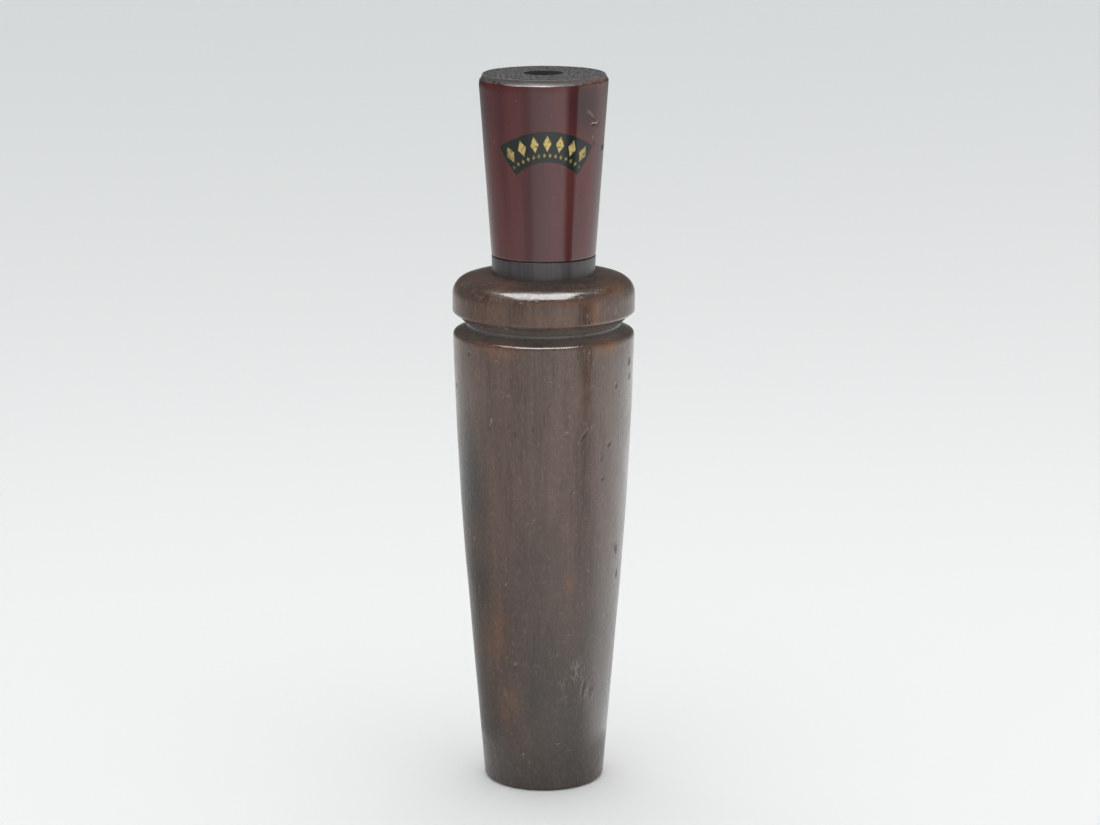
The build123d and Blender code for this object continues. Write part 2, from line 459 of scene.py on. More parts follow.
@dataclass(frozen=True)
class Walnut:
    """Dark walnut with fine upright pores under an old lacquer, glossier at the bead than low down."""

    dark: Colour = (0.064, 0.040, 0.031)
    brown: Colour = (0.142, 0.087, 0.067)
    warm: Colour = (0.26, 0.105, 0.045)
    # painted shade: the grey that darkens the wood towards the foot, also the grey of the darker patches
    shade_and_patch_grey: Colour = (0.030, 0.033, 0.030)
    gloss_top: float = 0.085
    gloss_foot: float = 0.25
    light: Colour = (0.30, 0.26, 0.22)
    groove_sheen: Colour = (0.20, 0.20, 0.19)  # painted light: pale grey round the lanyard groove, for the light it reflects
    dent_shade: Colour = (0.02, 0.015, 0.012)
    warm_stains: tuple[Patch, ...] = (
        Patch(14.8, -46, 33.5, 6.5, 13, 0.34),
        Patch(13.7, -34, 18.6, 5.0, 9, 0.34),
        Patch(12.8, -24, 11.5, 7.0, 13, 0.12),
        Patch(15.8, 15, 45.2, 1.6, 3.5, 0.5),
        Patch(18.1, 40, 92.5, 5.0, 3.0, 0.6),
        Patch(18.1, -35, 92.5, 7.0, 3.0, 0.5),
        Patch(16.3, 48, 104.0, 7.0, 2.4, 0.6),
        Patch(18.2, 30, 100.3, 2.0, 4.0, 0.75),
        Patch(18.2, -40, 99.6, 9.0, 3.0, 0.14),
        Patch(18.2, 0, 99.2, 12.0, 3.0, 0.20),
        Patch(18.2, 10, 102.2, 14.0, 1.3, 0.35),
    )
    # Painted shade: the patches on the left side and on the crown beside the stopper. The two on the front are
    # plain darker grey patches.
    shade_and_grey_patches: tuple[Patch, ...] = (
        Patch(17.3, -66, 64, 9, 22, 0.9),
        Patch(15.4, -62, 42, 7, 18, 0.8),
        Patch(13.5, 5, 20, 9, 16, 0.4),
        Patch(16.3, -5, 50, 7, 14, 0.3),
        Patch(12.5, 20, 104.6, 14, 3.5, 0.8),
        Patch(15.5, -62, 103.2, 8, 3.5, 0.6),
    )
    scuffs: tuple[Patch, ...] = (
        Patch(14.2, 24, 25.5, 3.2, 4.5, 0.9),
        Patch(14.0, 14, 23.0, 2.2, 5.0, 0.6),
        Patch(13.9, 36, 20.0, 3.0, 2.6, 0.9),
        Patch(15.2, 50, 36.0, 0.8, 2.2, 1.0),
        Patch(18.2, 48, 99.6, 2.4, 2.4, 0.6),
        Patch(13.7, -38, 20.5, 1.0, 2.5, 0.6),
        Patch(16.5, -70, 104.0, 4.0, 1.2, 0.6),
        Patch(17.7, -34, 102.6, 2.6, 0.9, 0.8),
        Patch(17.2, 14, 104.0, 4.5, 0.7, 0.8),
        Patch(17.2, 36, 103.9, 3.0, 0.9, 1.0),
    )

    def lines(self, wood: Recipe) -> Socket:
        """Fine curling scratches, where a noise crosses its middle value and a second noise is high.

        Args:
            wood: The material's recipe.

        Returns:
            1 on a scratch.
        """
        curl = wood.math("ABSOLUTE", wood.math("SUBTRACT", wood.noise((520, 520, 400), 1, 0.4), 0.5))
        some = wood.fit(wood.noise((640, 640, 520), 2, 0.5, shift=(0.4, 0.1, 0.3)), 0.59, 0.64)
        return wood.math("MULTIPLY", wood.fit(curl, 0.004, 0.014, 1.0, 0.0), some)

    def make(self) -> bpy.types.Material:
        """Builds the material.

        Returns:
            Walnut, in object coordinates, with painted shade in the dents and a painted highlight on their
            raised lips, both read from the mesh's attribute "dent".
        """
        wood = Recipe("walnut")
        height = wood.height()
        figure = wood.noise((150, 150, 22), 4, 0.55, 0.6)
        streaks = wood.noise((1900, 1900, 70), 3, 0.6)
        fibres = wood.noise((4200, 4200, 210), 2, 0.6, shift=(0.3, 0.1, 0))
        blotches = wood.noise((70, 70, 40), 3, 0.6, 0.4, (0.7, 0.2, 0.4))
        colour = wood.mix(wood.fit(figure, 0.28, 0.74), self.dark, self.brown)
        colour = wood.mix(wood.fit(streaks, 0.35, 0.68, 0.0, 0.6), colour, self.brown)
        # Painted shade: the wood darkens towards the foot, over the lowest 70 mm.
        colour = wood.mix(wood.fit(height, 0.070, 0.004, 0.0, 0.62), colour, self.shade_and_patch_grey)
        mottle = wood.noise((380, 380, 210), 4, 0.7, 0.6, (0.1, 0.5, 0.9))
        colour = wood.mix(stains(wood, self.warm_stains, mottle), colour, self.warm)
        # Grey patches, painted shade on the left side and on the crown beside the stopper.
        colour = wood.mix(stains(wood, self.shade_and_grey_patches, blotches), colour, self.shade_and_patch_grey)
        # Painted light: pale grey round the lanyard groove, standing for the light it reflects.
        groove_sheen_band = wood.math("MULTIPLY", wood.fit(height, 0.0933, 0.0946), wood.fit(height, 0.0970, 0.0958))
        colour = wood.mix(wood.math("MULTIPLY", groove_sheen_band, 0.5), colour, self.groove_sheen)
        specks = wood.noise((1500, 1500, 1000), 4, 0.75, 0.0, (0.6, 0.3, 0.2))
        colour = wood.mix(wood.fit(specks, 0.52, 0.72, 0.0, 0.22), colour, self.light)
        colour = wood.mix(wood.fit(specks, 0.48, 0.30, 0.0, 0.45), colour, self.dark)
        pores = wood.fit(fibres, 0.56, 0.72)
        colour = wood.mix(wood.math("MULTIPLY", pores, 0.5), colour, self.dark)
        motes = wood.fit(wood.noise((1700, 1700, 1300), 3, 0.7, shift=(0.5, 0.5, 0.2)), 0.70, 0.76)
        scraped = wood.noise((2100, 2100, 760), 2, 0.55, shift=(0.2, 0.8, 0.5))
        rubbed = wood.math("MULTIPLY", stains(wood, self.scuffs, scraped), wood.fit(scraped, 0.50, 0.60))
        scratches = self.lines(wood)
        pale = wood.math("MAXIMUM", wood.math("MULTIPLY", motes, 0.8), wood.math("MULTIPLY", scratches, 0.45))
        pale = wood.math("MAXIMUM", pale, wood.math("MULTIPLY", rubbed, 0.42))
        colour = wood.mix(pale, colour, self.light)
        dent = wood.node("ShaderNodeAttribute", {}, attribute_name="dent").outputs["Fac"]
        # Painted shade darkens the dents, most where deepest; a painted highlight lightens their raised lips.
        colour = wood.mix(wood.fit(dent, 0.04, 0.18, 0.0, 0.5), colour, self.dent_shade)
        colour = wood.mix(wood.fit(dent, -0.015, -0.05, 0.0, 0.35), colour, self.light)
        gloss = wood.fit(height, 0.074, 0.088, self.gloss_foot, self.gloss_top)
        worn = wood.fit(blotches, 0.35, 0.65, -0.03, 0.05)
        rough = wood.math("ADD", wood.math("ADD", gloss, worn), wood.math("MULTIPLY", pores, 0.12))
        rough = wood.math("ADD", rough, wood.math("MULTIPLY", pale, 0.3))
        normal = wood.bump(wood.fit(fibres, 0.5, 0.75, 1.0, 0.0), 0.00002)
        normal = wood.bump(wood.noise((420, 420, 130), 2, 0.5), 0.00003, normal)
        normal = wood.bump(scratches, 0.00003, normal)
        return wood.finish(Base_Color=colour, Roughness=rough, Normal=normal, IOR=1.52)


@dataclass(frozen=True)
class Oxblood:
    """The stopper's finishes by height: lacquered cone, charcoal end grain, worn bevel and bare tenon."""

    seam: float
    bevel: float
    top: float
    red: Colour = (0.120, 0.025, 0.025)
    deep: Colour = (0.076, 0.018, 0.019)
    charcoal: Colour = (0.054, 0.054, 0.051)
    bare: Colour = (0.062, 0.052, 0.052)
    orange: Colour = (0.135, 0.042, 0.019)
    side_shade_red: Colour = (0.034, 0.011, 0.013)
    dark_end: Colour = (0.034, 0.034, 0.033)
    dark_bare: Colour = (0.047, 0.039, 0.039)
    dark_rim: Colour = (0.030, 0.020, 0.019)
    light_rim: Colour = (0.070, 0.050, 0.046)
    mote: Colour = (0.30, 0.20, 0.17)
    bore_shade: Colour = (0.016, 0.013, 0.012)
    # Painted shade: darker red on the cone's right and left sides.
    side_shade_patches: tuple[Patch, ...] = (
        Patch(12.6, 40, 140.0, 7.0, 9.0, 0.9),
        Patch(12.6, -78, 138.0, 6.0, 12.0, 0.9),
        Patch(12.2, 80, 130.0, 5.0, 16.0, 0.6),
    )

    def make(self) -> bpy.types.Material:
        """Builds the material.

        Returns:
            The stopper's material, in object coordinates.
        """
        paint = Recipe("oxblood")
        height = paint.height()
        figure = paint.noise((210, 210, 18), 3, 0.5, 0.3)
        streaks = paint.noise((1700, 1700, 60), 2, 0.5)
        red = paint.mix(paint.fit(figure, 0.3, 0.7), self.deep, self.red)
        red = paint.mix(paint.fit(streaks, 0.45, 0.75, 0.0, 0.3), red, self.deep)
        # Painted shade on the cone's right and left sides.
        red = paint.mix(stains(paint, self.side_shade_patches, figure), red, self.side_shade_red)
        grain = paint.noise((1400, 500, 1400), 4, 0.65)
        end = paint.mix(paint.fit(grain, 0.3, 0.75), self.dark_end, self.charcoal)
        bare = paint.mix(paint.fit(streaks, 0.35, 0.7), self.dark_bare, self.bare)
        worn = Patch(12.6, 58, 143.9, 7.5, 1.6, 1.0).mask(paint)
        worn = paint.math("MULTIPLY", worn, paint.fit(grain, 0.35, 0.55))
        wavering = paint.math("MULTIPLY", paint.math("SUBTRACT", figure, 0.5), 0.0006)
        bevelled = paint.fit(paint.math("ADD", height, wavering), self.bevel - 0.0001, self.bevel + 0.0002)
        rim = paint.mix(paint.fit(grain, 0.35, 0.7), self.dark_rim, self.light_rim)
        colour = paint.mix(bevelled, red, rim)
        colour = paint.mix(worn, colour, self.orange)
        ended = paint.fit(height, self.top - 0.00012, self.top - 0.00004)
        colour = paint.mix(ended, colour, end)
        tenon = paint.fit(height, self.seam - 0.0002, self.seam - 0.0001, 1.0, 0.0)
        colour = paint.mix(tenon, colour, bare)
        motes = paint.fit(paint.noise((1900, 1900, 1900), 1, 0.5, shift=(0.2, 0.6, 0.1)), 0.765, 0.81)
        colour = paint.mix(paint.math("MULTIPLY", motes, 0.7), colour, self.mote)
        # Painted shade: the exhaust bore and its chamfer are darkened.
        off_axis = paint.vector("LENGTH", paint.stretched((1.0, 1.0, 0.0))).outputs["Value"]
        bore = paint.fit(off_axis, 0.0043, 0.0041)
        colour = paint.mix(bore, colour, self.bore_shade)
        rough = paint.fit(streaks, 0.3, 0.7, 0.10, 0.14)
        rubbed = paint.fit(grain, 0.3, 0.6, 0.22, 0.52)
        rough = paint.math("ADD", rough, paint.math("MULTIPLY", bevelled, rubbed))
        matt = paint.fit(paint.math("ADD", height, wavering), self.top - 0.0009, self.top - 0.0005, 0.0, 0.38)
        rough = paint.math("ADD", rough, matt)
        rough = paint.math("ADD", rough, paint.math("MULTIPLY", ended, -0.44))
        rough = paint.math("ADD", rough, paint.math("MULTIPLY", tenon, 0.18))
        rough = paint.math("ADD", rough, paint.math("MULTIPLY", bore, 0.6))
        normal = paint.bump(paint.noise((300, 300, 90), 2, 0.5), 0.00002)
        normal = paint.bump(paint.math("MULTIPLY", grain, ended), 0.00008, normal)
        return paint.finish(Base_Color=colour, Roughness=rough, Normal=normal, IOR=1.58)


@dataclass(frozen=True)
class Cedar:
    """Bare red cedar, sanded: reddish early wood with thin darker rings along the board."""

    pale: Colour = (0.50, 0.25, 0.13)
    ring: Colour = (0.27, 0.10, 0.05)

    def make(self) -> bpy.types.Material:
        """Builds the material.

        Returns:
            Cedar, in object coordinates.
        """
        wood = Recipe("cedar")
        drift = wood.noise((120, 120, 9), 2, 0.5)
        across = wood.node("ShaderNodeSeparateXYZ", {0: wood.place}).outputs[0]
        phase = wood.math("ADD", wood.math("MULTIPLY", across, 5200.0), wood.math("MULTIPLY", drift, 9.0))
        rings = wood.fit(wood.math("SINE", phase), 0.1, 1.0)
        fibres = wood.noise((3800, 3800, 160), 3, 0.6)
        colour = wood.mix(rings, self.pale, self.ring)
        colour = wood.mix(wood.fit(fibres, 0.4, 0.75, 0.0, 0.5), colour, self.ring)
        normal = wood.bump(fibres, 0.00004)
        return wood.finish(Base_Color=colour, Roughness=wood.fit(fibres, 0.3, 0.7, 0.5, 0.66), Normal=normal)


@dataclass(frozen=True)
class MilkyPlastic:
    """The reed's strip: milky plastic with fine sanding lines along it, yellowed in clouds."""

    milk: Colour = (0.74, 0.70, 0.58)
    aged: Colour = (0.62, 0.54, 0.36)

    def make(self) -> bpy.types.Material:
        """Builds the material.

        Returns:
            Milky plastic, in object coordinates.
        """
        strip = Recipe("milky_plastic")
        lines = strip.noise((5200, 600, 40), 2, 0.6)
        cloud = strip.noise((220, 220, 120), 3, 0.5)
        colour = strip.mix(strip.fit(cloud, 0.35, 0.7), self.milk, self.aged)
        colour = strip.mix(strip.fit(lines, 0.5, 0.8, 0.0, 0.25), colour, (0.9, 0.88, 0.8))
        rough = strip.fit(lines, 0.3, 0.7, 0.26, 0.42)
        return strip.finish(Base_Color=colour, Roughness=rough, Normal=strip.bump(lines, 0.000008),
                            Subsurface_Weight=0.2, Subsurface_Radius=(0.001, 0.0008, 0.0005))


@dataclass(frozen=True)
class Cork:
    """Cut cork: pale grains of bark packed together, with dark seams and open pores."""

    light: Colour = (0.52, 0.31, 0.16)
    tan: Colour = (0.36, 0.19, 0.09)
    pore: Colour = (0.08, 0.035, 0.018)

    def make(self) -> bpy.types.Material:
        """Builds the material.

        Returns:
            Cork, in object coordinates.
        """
        bark = Recipe("cork")
        place = bark.stretched((1.0, 1.0, 1.0))
        cells = bark.node("ShaderNodeTexVoronoi", {"Vector": place, "Scale": 620.0})
        seams = bark.node("ShaderNodeTexVoronoi", {"Vector": place, "Scale": 620.0},
                          feature="DISTANCE_TO_EDGE").outputs["Distance"]
        tone = bark.node("ShaderNodeSeparateColor", {0: cells.outputs["Color"]}).outputs[0]
        colour = bark.mix(tone, self.light, self.tan)
        seam = bark.fit(seams, 0.0, 0.09, 1.0, 0.0)
        pits = bark.fit(bark.noise((1500, 1500, 900), 2, 0.6), 0.62, 0.7)
        open_parts = bark.math("MAXIMUM", bark.math("MULTIPLY", seam, 0.7), pits)
        colour = bark.mix(open_parts, colour, self.pore)
        normal = bark.bump(bark.math("SUBTRACT", 1.0, open_parts), 0.00015)
        return bark.finish(Base_Color=colour, Roughness=bark.fit(tone, 0, 1, 0.72, 0.85), Normal=normal)


@dataclass(frozen=True)
class Transfer:
    """The label's dark film with a thin gold border and a row of gold lozenges, rubbed in places.

    It reads the label's own UV map: U runs from its left end to its right end, V from its inner arc to
    its outer arc.
    """

    film: Colour = (0.012, 0.017, 0.014)
    gold: Colour = (0.62, 0.46, 0.16)
    lozenges: float = 7.0

    def band(self, recipe: Recipe, value: Socket, middle: float, half: float) -> Socket:
        """1 where a value is within half of a middle, fading over a third of half outside it."""
        off = recipe.math("ABSOLUTE", recipe.math("SUBTRACT", value, middle))
        return recipe.fit(off, half * 0.8, half * 1.2, 1.0, 0.0)

    def row(self, recipe: Recipe, along: Socket, up: Socket, count: float, middle: float, tall: float,
            wide: float) -> Socket:
        """A row of lozenges.

        A lozenge is where the distance along it as a share of its half width, plus the distance up it as a
        share of its half height, is less than 1.

        Args:
            recipe: The material's recipe.
            along: U.
            up: V.
            count: Lozenges in the label's whole length.
            middle: V of the row's middle.
            tall: Half height, in V.
            wide: Half width, as a share of the pitch.

        Returns:
            1 inside a lozenge.
        """
        cell = recipe.math("FRACT", recipe.math("MULTIPLY", along, count))
        beside = recipe.math("DIVIDE", recipe.math("ABSOLUTE", recipe.math("SUBTRACT", cell, 0.5)), wide)
        above = recipe.math("DIVIDE", recipe.math("ABSOLUTE", recipe.math("SUBTRACT", up, middle)), tall)
        return recipe.fit(recipe.math("ADD", beside, above), 0.85, 1.1, 1.0, 0.0)

    def make(self) -> bpy.types.Material:
        """Builds the material.

        Returns:
            The transfer's material, on the label's UV map.
        """
        film = Recipe("transfer")
        sheet = film.node("ShaderNodeUVMap", {}, uv_map="label").outputs[0]
        parts = film.node("ShaderNodeSeparateXYZ", {0: sheet}).outputs
        along, up = parts[0], parts[1]
        rubbed = film.noise((2300, 2300, 2300), 3, 0.7)
        large = self.row(film, along, up, self.lozenges, 0.61, 0.27, 0.33)
        small = self.row(film, along, up, self.lozenges * 2, 0.22, 0.08, 0.30)
        small = film.math("MULTIPLY", small, 0.55)
        inside = self.band(film, along, 0.5, 0.455)
        marks = film.math("MULTIPLY", film.math("MAXIMUM", large, small), inside)
        gold = film.math("MULTIPLY", marks, film.fit(rubbed, 0.36, 0.5, 0.15, 1.0))
        colour = film.mix(gold, self.film, self.gold)
        rough = film.fit(gold, 0.0, 1.0, 0.16, 0.34)
        return film.finish(Base_Color=colour, Roughness=rough, Metallic=film.math("MULTIPLY", gold, 0.35),
                           IOR=1.5)


# ---- The call's sub-assemblies ----


def dress(piece: bpy.types.Object, material: bpy.types.Material, slot: Slot, *nodes: str) -> None:
    """Gives a new piece its material, and hides the CAD nodes that it stands for.

    Args:
        piece: The new piece.
        material: Its material.
        slot: The record's slot for its finish. Not used.
        *nodes: The CAD nodes that it replaces.
    """
    piece.data.materials.append(material)
    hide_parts(*nodes)
    log.info("%s: %d faces, %s", piece.name, len(piece.data.polygons), material.name)


@dataclass
class Barrel:
    """The barrel: long taper and swell, lanyard groove, bead and crown, bored right through."""

    length: float = 105.3
    foot_r: float = 12.16
    knee: tuple[float, float] = (15.5, 41.0)
    shoulder: tuple[float, float] = (18.17, 93.35)
    groove: tuple[float, float] = (14.8, 94.85)
    bead_r: float = 18.25
    bead_edge: float = 97.55
    bead_side: float = 101.1
    bead_round: float = 3.4
    bead_sweep: float = 73.6
    mouth_r: float = 10.38
    socket_floor: float = 83.05
    socket_floor_r: float = 9.98
    chamber_r: float = 9.525
    chamber_floor: float = 21.0
    bore_r: float = 6.35
    bore_top: float = 12.0
    columns: int = 352
    marked_from: float = 62.0  # the rows are closer above this height, where most of the dents are
    nicks: tuple[Nick, ...] = (
        Nick(24.2, 75.4, 3.1, 0.75, 42, 0.24),
        Nick(44.4, 72.7, 1.7, 0.6, 50, 0.18),
        Nick(49.5, 84.5, 0.9, 0.7, 0, 0.16),
        Nick(66.8, 88.5, 1.8, 0.8, 10, 0.22),
        Nick(67.8, 85.4, 1.2, 0.7, 0, 0.2),
        Nick(59.3, 49.9, 2.2, 0.8, -25, 0.26),
        Nick(64.7, 44.4, 1.3, 0.9, 20, 0.24),
        Nick(-26.9, 77.2, 0.9, 0.8, 0, 0.14),
        Nick(-22.5, 75.9, 1.8, 0.7, -45, 0.14),
        Nick(-20.6, 79.4, 1.0, 0.7, 0, 0.14),
        Nick(-10.9, 76.9, 0.7, 0.7, 0, 0.14),
        Nick(-20.4, 71.3, 0.7, 0.6, 0, 0.14),
        Nick(8.1, 65.0, 0.8, 0.7, 0, 0.14),
        Nick(13.2, 59.3, 0.8, 0.6, 0, 0.12),
        Nick(37.4, 70.0, 0.8, 0.6, 0, 0.14),
        Nick(39.1, 65.8, 1.0, 0.8, 30, 0.16),
        Nick(-58.1, 90.9, 0.9, 0.7, 0, 0.16),
        Nick(-79.3, 83.1, 1.2, 0.8, 0, 0.18),
        Nick(31.0, 21.5, 3.4, 0.9, 8, 0.14),
        Nick(38.5, 21.0, 2.2, 1.2, 60, 0.16),
        Nick(130.0, 62.0, 3.0, 1.0, 35, 0.24),
        Nick(-142.0, 34.0, 2.2, 0.9, -20, 0.2),
        Nick(172.0, 80.0, 1.6, 0.9, 70, 0.2),
        Nick(-118.0, 71.0, 1.2, 0.9, 0, 0.18),
    )

    def outside(self) -> np.ndarray:
        """The outline from the foot's inner edge, up the outside, to the socket's mouth.

        Returns:
            (radius, height) points.
        """
        knee, shoulder = np.array(self.knee), np.array(self.shoulder)
        taper = knee - (self.foot_r, 0)
        swell = tangent_arc(knee, taper, shoulder, 24)[:-1]
        sweep = np.radians(np.linspace(0, self.bead_sweep, 12))[1:]
        centre = np.array([self.bead_r - self.bead_round, self.bead_side])
        bead = centre + self.bead_round * np.column_stack([np.cos(sweep), np.sin(sweep)])
        heading = np.array([-np.sin(sweep[-1]), np.cos(sweep[-1])])
        crown = tangent_arc(bead[-1], heading, np.array([self.mouth_r, self.length]), 9)[1:]
        corners = [(self.bore_r + 0.8, 0, 0), (self.foot_r, 0, 0.9)]
        corners += [(r, z, 0) for r, z in swell]
        corners += [(*self.shoulder, 0.9), (*self.groove, 0.5), (self.bead_r, self.bead_edge, 0.6)]
        corners += [(self.bead_r, self.bead_side, 0)]
        corners += [(r, z, 0) for r, z in np.vstack([bead, crown])]
        outline = rounded(corners, 6)
        return refine(outline, np.where(outline[:-1, 1] > self.marked_from, 0.42, 0.8))

    def inside(self) -> np.ndarray:
        """The outline down the socket, the chamber, the throat and the mouth bore.

        Returns:
            (radius, height) points, without the two ends that the outside has.
        """
        corners = [
            (self.mouth_r, self.length),
            (self.socket_floor_r, self.socket_floor),
            (self.chamber_r, self.socket_floor),
            (self.chamber_r, self.chamber_floor),
            (self.bore_r, self.bore_top),
            (self.bore_r, 0.8),
            (self.bore_r + 0.8, 0),
        ]
        return refine(np.array(corners), 6.0)[1:-1]

    def build(self) -> None:
        """Makes the barrel's surface and dresses it."""
        outside = self.outside()
        path = np.vstack([outside, self.inside()])
        azimuths = front_heavy(self.columns)
        dents = sum(nick.press(azimuths, path) for nick in self.nicks)
        relief = waves(azimuths, path[:, 1], 3, 0.025) * np.clip(path[:, 1:] / 4, 0, 1) - dents
        relief[len(outside) - 2:] = 0
        relief[:3] = 0
        piece = grid_mesh("barrel_turned", revolve(path, relief, azimuths), closed=True)
        keep(piece, "dent", dents)
        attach(piece, Body.BARREL.value)
        dress(piece, Walnut().make(), Slot.BARREL, "barrel")


@dataclass
class Stopper:
    """The stopper: lacquered cone with an uneven bevel, scored seam and tenon, bored through."""

    foot: float = 109.05
    top: float = 145.05
    foot_r: float = 10.42
    rim_r: float = 12.84
    bevel_in: float = 0.68
    bevel_down: float = 1.25
    tenon_end: float = 84.05
    tenon_r: float = 10.4
    tenon_end_r: float = 9.95
    exhaust_r: float = 3.97
    works_r: float = 6.35
    works_top: float = 108.05
    columns: int = 320
    nicks: tuple[Nick, ...] = (
        Nick(45.0, 137.6, 3.4, 0.55, -52, 0.23),
        Nick(52.0, 135.8, 3.2, 0.5, -84, 0.20),
        Nick(50.0, 132.6, 1.8, 0.5, -15, 0.17),
        Nick(72.0, 131.0, 1.3, 1.2, 0, 0.35),
        Nick(150.0, 125.0, 2.0, 0.6, 30, 0.1),
        Nick(-120.0, 118.0, 1.2, 0.7, 0, 0.1),
    )

    def outline(self) -> np.ndarray:
        """The whole closed outline, up the outside and down the two bores.

        Returns:
            (radius, height) points.
        """
        outside = [
            (self.works_r, self.tenon_end, 0),
            (self.tenon_end_r - 0.5, self.tenon_end, 0.1),
            (self.tenon_end_r + 0.01, self.tenon_end + 0.5, 0.1),
            (self.tenon_r, self.foot - 0.3, 0.05),
            (self.tenon_r - 0.4, self.foot - 0.15, 0.02),
            (self.foot_r, self.foot, 0.12),
            (self.rim_r, self.top - self.bevel_down, 0.35),
            (self.rim_r - self.bevel_in, self.top, 0.35),
            (self.exhaust_r + 0.1, self.top, 0.05),
            (self.exhaust_r, self.top - 0.1, 0),
        ]
        inside = [
            (self.exhaust_r, self.top - 0.1),
            (self.exhaust_r, self.works_top),
            (self.works_r, self.works_top),
            (self.works_r, self.tenon_end),
        ]
        outline = rounded(outside)
        step = np.where(outline[:-1, 1] > self.foot - 1, 0.36, 1.0)
        return np.vstack([refine(outline, step), refine(np.array(inside), 6.0)[1:-1]])

    def bevel_wear(self, path: np.ndarray, azimuths: np.ndarray) -> np.ndarray:
        """How much more of the rim is worn away, most at the front left and least at the right.

        The wear is greatest at the rim's corner and fades 1.8 mm away from it. Two sine waves round the rim
        make it lumpy.

        Args:
            path: (radius, height) of each row.
            azimuths: Radians of each column.

        Returns:
            Rows by columns of depth, in millimetres.
        """
        corner = np.hypot(path[:, 0] - self.rim_r, path[:, 1] - (self.top - self.bevel_down / 2))
        close = np.clip(1 - corner / 1.8, 0, 1)[:, None] ** 1.5
        side = 0.5 + 0.5 * np.cos(azimuths + radians(55))
        lumps = 1 + 0.22 * np.sin(7 * azimuths + 1.0) + 0.16 * np.sin(13 * azimuths + 2.0)
        return close * (0.04 + 0.36 * side**3) * lumps

    def build(self) -> None:
        """Makes the stopper's surface and dresses it."""
        path = self.outline()
        azimuths = front_heavy(self.columns)
        bored = (path[:, 0] < self.works_r + 0.05) & (path[:, 1] < self.top - 0.01)
        relief = waves(azimuths, path[:, 1], 8, 0.012)
        relief -= self.bevel_wear(path, azimuths)
        for nick in self.nicks:
            relief -= nick.press(azimuths, path)
        relief[bored | (path[:, 1] < self.foot - 4)] = 0
        piece = grid_mesh("stopper_turned", revolve(path, relief, azimuths), closed=True)
        finish = Oxblood(self.foot * MM, (self.top - self.bevel_down) * MM, self.top * MM)
        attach(piece, Body.STOPPER.value)
        dress(piece, finish.make(), Slot.STOPPER, "stopper")


@dataclass
class Label:
    """The arched transfer on the cone's front."""

    middle: float = 121.3  # height of the arch's centre
    outer_r: float = 13.7
    inner_r: float = 7.7
    outer_half: float = 41.0  # degrees from the middle to the end, along the outer arc
    inner_half: float = 50.0
    lift: float = 0.05
    rows: int = 25
    columns: int = 81

    def build(self, stopper: Stopper) -> None:
        """Lays the label on the stopper's cone, as a thin closed sheet.

        A point of the arch at a radius and a turn has x and z as on a flat arch seen from the front, and y
        where the cone's surface is: minus the root of the cone's radius squared less x squared.

        Args:
            stopper: The stopper that it sticks to.
        """
        radii = np.linspace(self.inner_r, self.outer_r, self.rows)[:, None]
        half = np.interp(radii, [self.inner_r, self.outer_r], [self.inner_half, self.outer_half])
        turns = np.radians(half) * np.linspace(-1, 1, self.columns)
        across = radii * np.sin(turns)
        up = self.middle + radii * np.cos(turns)
        slope = (stopper.rim_r - stopper.foot_r) / (stopper.top - stopper.bevel_down - stopper.foot)
        cone = stopper.foot_r + slope * (up - stopper.foot)
        layers = []
        for lift in (self.lift, 0.0):
            depth = -np.sqrt((cone + lift) ** 2 - across**2)
            layers.append(np.stack([across, depth, up], axis=-1))
        self.sheet(np.array(layers))

    def sheet(self, layers: np.ndarray) -> None:
        """Joins the front and back layers round their rim, maps them and dresses the piece.

        Args:
            layers: Front and back, by rows, by columns, by xyz, in millimetres.
        """
        rows, columns = self.rows, self.columns
        index = np.arange(2 * rows * columns).reshape(2, rows, columns)
        front, back = index
        quads = [
            np.stack([front[:-1, :-1], front[:-1, 1:], front[1:, 1:], front[1:, :-1]], -1).reshape(-1, 4),
            np.stack([back[:-1, :-1], back[1:, :-1], back[1:, 1:], back[:-1, 1:]], -1).reshape(-1, 4),
        ]
        rims = [(front[0], back[0]), (front[:, -1], back[:, -1]), (front[-1, ::-1], back[-1, ::-1]),
                (front[::-1, 0], back[::-1, 0])]
        for near, far in rims:
            quads.append(np.stack([near[:-1], far[:-1], far[1:], near[1:]], -1))
        mesh = bpy.data.meshes.new("label_film")
        faces = np.vstack(quads)
        mesh.from_pydata((layers.reshape(-1, 3) * MM).tolist(), [], faces.tolist())
        along, up = np.meshgrid(np.linspace(0, 1, columns), np.linspace(0, 1, rows))
        flat = np.tile(np.stack([along, up], -1).reshape(-1, 2), (2, 1))
        uv = mesh.uv_layers.new(name="label")
        uv.data.foreach_set("uv", flat[faces.ravel()].ravel())
        mesh.polygons.foreach_set("use_smooth", np.ones(len(faces), dtype=bool))
        mesh.set_sharp_from_angle(angle=radians(40))
        piece = bpy.data.objects.new("label_film", mesh)
        bpy.context.scene.collection.objects.link(piece)
        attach(piece, Body.STOPPER.value)
        dress(piece, Transfer().make(), Slot.LABEL, "label")


